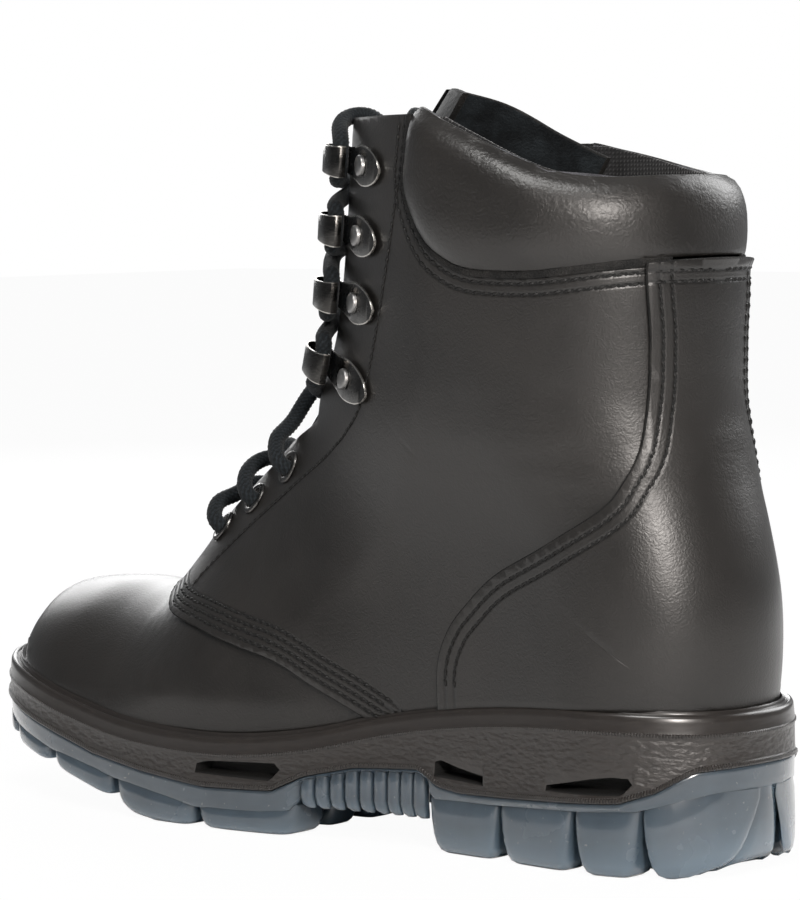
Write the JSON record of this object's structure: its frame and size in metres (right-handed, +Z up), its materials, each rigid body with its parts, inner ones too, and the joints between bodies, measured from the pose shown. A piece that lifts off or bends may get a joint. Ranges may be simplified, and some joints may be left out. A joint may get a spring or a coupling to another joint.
{
  "type": "work boot",
  "caption": "Tall black leather work boot with a padded collar, lace hooks and eyelets, a foamed midsole and a lugged translucent outsole.",
  "frame": {"origin": "on the ground under the middle of the boot's length and width", "axes": "+X toward the heel, +Y toward the wearer's right (the inner side of this left boot), +Z up"},
  "size_m": [0.312, 0.1099, 0.2369],
  "materials": {
    "outsole": "translucent blue-grey tread compound",
    "midsole": "brown-black foamed polyurethane, fine grain",
    "shank": "plain steel strip",
    "penetration_plate": "plain thin steel",
    "insole_board": "brown fibre board",
    "footbed": "dark foam faced with cloth",
    "vamp": "smooth black leather, satin",
    "toe_cap": "moulded composite shell",
    "vamp_lining": "dark bonded lining",
    "quarter_left": "smooth black leather, satin",
    "facing_stay_left": "smooth black leather, satin",
    "quarter_lining_left": "dark bonded lining",
    "collar_binding_left": "smooth black leather, satin",
    "gusset_left": "soft thin black leather",
    "aglet_left": "black moulded tip",
    "eyelet_left_1": "black nickel ring",
    "eyelet_left_2": "black nickel ring",
    "eyelet_left_3": "black nickel ring",
    "hook_left_1": "black nickel with bright edges",
    "rivet_left_1": "silver-grey dome",
    "hook_left_2": "black nickel with bright edges",
    "rivet_left_2": "silver-grey dome",
    "hook_left_3": "black nickel with bright edges",
    "rivet_left_3": "silver-grey dome",
    "hook_left_4": "black nickel with bright edges",
    "rivet_left_4": "silver-grey dome",
    "quarter_right": "smooth black leather, satin",
    "facing_stay_right": "smooth black leather, satin",
    "quarter_lining_right": "dark bonded lining",
    "collar_binding_right": "smooth black leather, satin",
    "gusset_right": "soft thin black leather",
    "aglet_right": "black moulded tip",
    "eyelet_right_1": "black nickel ring",
    "eyelet_right_2": "black nickel ring",
    "eyelet_right_3": "black nickel ring",
    "hook_right_1": "black nickel with bright edges",
    "rivet_right_1": "silver-grey dome",
    "hook_right_2": "black nickel with bright edges",
    "rivet_right_2": "silver-grey dome",
    "hook_right_3": "black nickel with bright edges",
    "rivet_right_3": "silver-grey dome",
    "hook_right_4": "black nickel with bright edges",
    "rivet_right_4": "silver-grey dome",
    "backstay": "smooth black leather, satin",
    "heel_counter": "moulded stiffener",
    "collar_cover": "soft black leather, pebbled",
    "collar_foam": "open-cell padding",
    "tongue": "black leather, suede inside",
    "lace": "round braided cord"
  },
  "bodies": {
    "boot": {"outsole": "outsole", "midsole": "midsole", "shank": "shank", "penetration_plate": "penetration_plate", "insole_board": "insole_board", "vamp": "vamp", "toe_cap": "toe_cap", "vamp_lining": "vamp_lining", "quarter_left": "quarter_left", "facing_stay_left": "facing_stay_left", "quarter_lining_left": "quarter_lining_left", "collar_binding_left": "collar_binding_left", "gusset_left": "gusset_left", "aglet_left": "aglet_left", "eyelet_left_1": "eyelet_left_1", "eyelet_left_2": "eyelet_left_2", "eyelet_left_3": "eyelet_left_3", "hook_left_1": "hook_left_1", "rivet_left_1": "rivet_left_1", "hook_left_2": "hook_left_2", "rivet_left_2": "rivet_left_2", "hook_left_3": "hook_left_3", "rivet_left_3": "rivet_left_3", "hook_left_4": "hook_left_4", "rivet_left_4": "rivet_left_4", "quarter_right": "quarter_right", "facing_stay_right": "facing_stay_right", "quarter_lining_right": "quarter_lining_right", "collar_binding_right": "collar_binding_right", "gusset_right": "gusset_right", "aglet_right": "aglet_right", "eyelet_right_1": "eyelet_right_1", "eyelet_right_2": "eyelet_right_2", "eyelet_right_3": "eyelet_right_3", "hook_right_1": "hook_right_1", "rivet_right_1": "rivet_right_1", "hook_right_2": "hook_right_2", "rivet_right_2": "rivet_right_2", "hook_right_3": "hook_right_3", "rivet_right_3": "rivet_right_3", "hook_right_4": "hook_right_4", "rivet_right_4": "rivet_right_4", "backstay": "backstay", "heel_counter": "heel_counter", "collar_cover": "collar_cover", "collar_foam": "collar_foam", "lace": "lace"},
    "tongue": {"tongue": "tongue"},
    "footbed": {"footbed": "footbed"}
  },
  "joints": [
    {"name": "tongue_tilt", "type": "hinge", "parent": "boot", "child": "tongue", "pos_m": [-0.075, 0, 0.068], "axis": [0, 1, 0], "range_deg": [0, 10]},
    {"name": "footbed_lift", "type": "hinge", "parent": "boot", "child": "footbed", "pos_m": [-0.132, 0, 0.04943], "axis": [0, -1, 0], "range_deg": [0, 5]}
  ]
}
